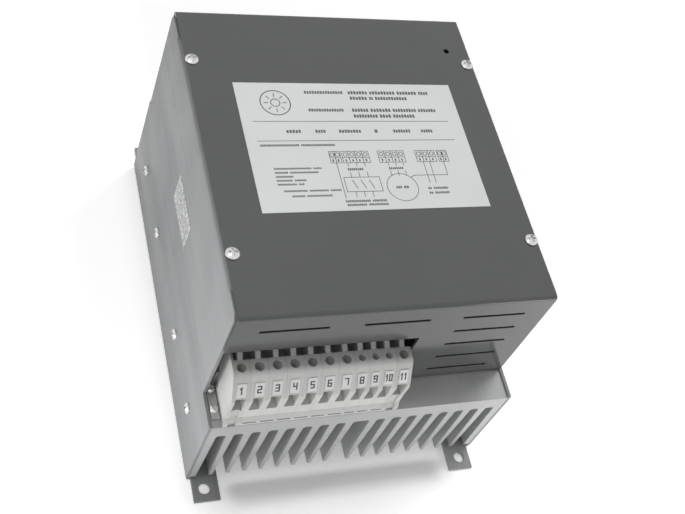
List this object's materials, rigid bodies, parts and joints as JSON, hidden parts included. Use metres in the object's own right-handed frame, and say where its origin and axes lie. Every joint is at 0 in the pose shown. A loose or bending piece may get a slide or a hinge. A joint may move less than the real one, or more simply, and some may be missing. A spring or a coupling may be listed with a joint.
{
  "type": "motor speed controller",
  "caption": "Panel-mounting motor speed controller: finned heatsink between folded side plates, slotted sheet-metal cover and a row of cage-clamp rail terminals.",
  "frame": {"origin": "centre of the footprint, on the mounting plane", "axes": "+X across the body, to the right when the cover is seen with the terminals at the bottom; +Y along the body, from the terminal end to the blank end; +Z from the mounting plane to the cover"},
  "size_m": [0.1542, 0.2074, 0.1276],
  "materials": {
    "heatsink": "extruded, plain",
    "plate": "zinc plated sheet",
    "cover": "fine satin powder coat, dark grey",
    "screw": "zinc plated",
    "label": "printed foil, matt",
    "foil": "thin speckled metal foil",
    "rail": "zinc plated",
    "block": "moulded, light grey",
    "earth_block": "moulded, a little darker grey",
    "clamp_screw": "zinc plated",
    "cage": "zinc plated",
    "tag": "moulded, near white, dark figures",
    "bar": "plain",
    "module": "moulded, black",
    "board": "glass-fibre board with lacquer",
    "pillar": "plain",
    "core": "laminated core in varnish",
    "capacitor": "moulded case",
    "trimmer": "moulded case",
    "rotor": "moulded, white",
    "wire": "insulated wire, black"
  },
  "bodies": {
    "housing": {"heatsink": "heatsink", "left_side_plate": "plate", "right_side_plate": "plate", "cover": "cover", "cover_screws": "screw", "side_screws": "screw", "front_label": "label", "side_label": "foil", "terminal_rail": "rail", "rail_screws": "screw", "rail_end_stop": "rail", "terminal_1": "earth_block", "terminal_2": "block", "terminal_3": "block", "terminal_4": "block", "terminal_5": "block", "terminal_6": "block", "terminal_7": "block", "terminal_8": "block", "terminal_9": "block", "terminal_10": "block", "terminal_11": "earth_block", "marker_tags": "tag", "current_bars": "bar", "inner_clamp_screws": "clamp_screw", "inner_clamp_cages": "cage", "thyristor_module_1": "module", "thyristor_module_2": "module", "thyristor_module_3": "module", "module_screws": "screw", "circuit_board": "board", "board_pillars": "pillar", "board_screws": "screw", "transformer": "core", "snubber_capacitors": "capacitor", "trimmer_body": "trimmer", "wiring": "wire"},
    "screw_1": {"clamp_screw_1": "clamp_screw"},
    "cage_1": {"clamp_cage_1": "cage"},
    "screw_2": {"clamp_screw_2": "clamp_screw"},
    "cage_2": {"clamp_cage_2": "cage"},
    "screw_3": {"clamp_screw_3": "clamp_screw"},
    "cage_3": {"clamp_cage_3": "cage"},
    "screw_4": {"clamp_screw_4": "clamp_screw"},
    "cage_4": {"clamp_cage_4": "cage"},
    "screw_5": {"clamp_screw_5": "clamp_screw"},
    "cage_5": {"clamp_cage_5": "cage"},
    "screw_6": {"clamp_screw_6": "clamp_screw"},
    "cage_6": {"clamp_cage_6": "cage"},
    "screw_7": {"clamp_screw_7": "clamp_screw"},
    "cage_7": {"clamp_cage_7": "cage"},
    "screw_8": {"clamp_screw_8": "clamp_screw"},
    "cage_8": {"clamp_cage_8": "cage"},
    "screw_9": {"clamp_screw_9": "clamp_screw"},
    "cage_9": {"clamp_cage_9": "cage"},
    "screw_10": {"clamp_screw_10": "clamp_screw"},
    "cage_10": {"clamp_cage_10": "cage"},
    "screw_11": {"clamp_screw_11": "clamp_screw"},
    "cage_11": {"clamp_cage_11": "cage"},
    "trimmer": {"trimmer_rotor": "rotor"}
  },
  "joints": [
    {"name": "clamp_screw_turn_1", "type": "hinge", "parent": "housing", "child": "screw_1", "pos_m": [-0.065, -0.0793, 0.08], "axis": [0, 0, -1], "range_deg": [0, 2462]},
    {"name": "clamp_cage_lift_1", "type": "slide", "parent": "housing", "child": "cage_1", "axis": [0, 0, 1], "range_m": [0, 0.0041]},
    {"name": "clamp_screw_turn_2", "type": "hinge", "parent": "housing", "child": "screw_2", "pos_m": [-0.057, -0.0793, 0.08], "axis": [0, 0, -1], "range_deg": [0, 2462]},
    {"name": "clamp_cage_lift_2", "type": "slide", "parent": "housing", "child": "cage_2", "axis": [0, 0, 1], "range_m": [0, 0.0041]},
    {"name": "clamp_screw_turn_3", "type": "hinge", "parent": "housing", "child": "screw_3", "pos_m": [-0.049, -0.0793, 0.08], "axis": [0, 0, -1], "range_deg": [0, 2462]},
    {"name": "clamp_cage_lift_3", "type": "slide", "parent": "housing", "child": "cage_3", "axis": [0, 0, 1], "range_m": [0, 0.0041]},
    {"name": "clamp_screw_turn_4", "type": "hinge", "parent": "housing", "child": "screw_4", "pos_m": [-0.041, -0.0793, 0.08], "axis": [0, 0, -1], "range_deg": [0, 2462]},
    {"name": "clamp_cage_lift_4", "type": "slide", "parent": "housing", "child": "cage_4", "axis": [0, 0, 1], "range_m": [0, 0.0041]},
    {"name": "clamp_screw_turn_5", "type": "hinge", "parent": "housing", "child": "screw_5", "pos_m": [-0.033, -0.0793, 0.08], "axis": [0, 0, -1], "range_deg": [0, 2462]},
    {"name": "clamp_cage_lift_5", "type": "slide", "parent": "housing", "child": "cage_5", "axis": [0, 0, 1], "range_m": [0, 0.0041]},
    {"name": "clamp_screw_turn_6", "type": "hinge", "parent": "housing", "child": "screw_6", "pos_m": [-0.025, -0.0793, 0.08], "axis": [0, 0, -1], "range_deg": [0, 2462]},
    {"name": "clamp_cage_lift_6", "type": "slide", "parent": "housing", "child": "cage_6", "axis": [0, 0, 1], "range_m": [0, 0.0041]},
    {"name": "clamp_screw_turn_7", "type": "hinge", "parent": "housing", "child": "screw_7", "pos_m": [-0.017, -0.0793, 0.08], "axis": [0, 0, -1], "range_deg": [0, 2462]},
    {"name": "clamp_cage_lift_7", "type": "slide", "parent": "housing", "child": "cage_7", "axis": [0, 0, 1], "range_m": [0, 0.0041]},
    {"name": "clamp_screw_turn_8", "type": "hinge", "parent": "housing", "child": "screw_8", "pos_m": [-0.00975, -0.0793, 0.08], "axis": [0, 0, -1], "range_deg": [0, 3281]},
    {"name": "clamp_cage_lift_8", "type": "slide", "parent": "housing", "child": "cage_8", "axis": [0, 0, 1], "range_m": [0, 0.0041]},
    {"name": "clamp_screw_turn_9", "type": "hinge", "parent": "housing", "child": "screw_9", "pos_m": [-0.00325, -0.0793, 0.08], "axis": [0, 0, -1], "range_deg": [0, 3281]},
    {"name": "clamp_cage_lift_9", "type": "slide", "parent": "housing", "child": "cage_9", "axis": [0, 0, 1], "range_m": [0, 0.0041]},
    {"name": "clamp_screw_turn_10", "type": "hinge", "parent": "housing", "child": "screw_10", "pos_m": [0.00325, -0.0793, 0.08], "axis": [0, 0, -1], "range_deg": [0, 3281]},
    {"name": "clamp_cage_lift_10", "type": "slide", "parent": "housing", "child": "cage_10", "axis": [0, 0, 1], "range_m": [0, 0.0041]},
    {"name": "clamp_screw_turn_11", "type": "hinge", "parent": "housing", "child": "screw_11", "pos_m": [0.0105, -0.0793, 0.08], "axis": [0, 0, -1], "range_deg": [0, 2462]},
    {"name": "clamp_cage_lift_11", "type": "slide", "parent": "housing", "child": "cage_11", "axis": [0, 0, 1], "range_m": [0, 0.0041]},
    {"name": "trimmer_turn", "type": "hinge", "parent": "housing", "child": "trimmer", "pos_m": [0.0623, 0.0698, 0.108], "axis": [0, 0, 1], "range_deg": [-135, 135]}
  ],
  "couplings": [
    {"joint": "clamp_screw_turn_1", "follows": "clamp_cage_lift_1", "rad_per_m": 10472},
    {"joint": "clamp_screw_turn_2", "follows": "clamp_cage_lift_2", "rad_per_m": 10472},
    {"joint": "clamp_screw_turn_3", "follows": "clamp_cage_lift_3", "rad_per_m": 10472},
    {"joint": "clamp_screw_turn_4", "follows": "clamp_cage_lift_4", "rad_per_m": 10472},
    {"joint": "clamp_screw_turn_5", "follows": "clamp_cage_lift_5", "rad_per_m": 10472},
    {"joint": "clamp_screw_turn_6", "follows": "clamp_cage_lift_6", "rad_per_m": 10472},
    {"joint": "clamp_screw_turn_7", "follows": "clamp_cage_lift_7", "rad_per_m": 10472},
    {"joint": "clamp_screw_turn_8", "follows": "clamp_cage_lift_8", "rad_per_m": 13963},
    {"joint": "clamp_screw_turn_9", "follows": "clamp_cage_lift_9", "rad_per_m": 13963},
    {"joint": "clamp_screw_turn_10", "follows": "clamp_cage_lift_10", "rad_per_m": 13963},
    {"joint": "clamp_screw_turn_11", "follows": "clamp_cage_lift_11", "rad_per_m": 10472}
  ]
}
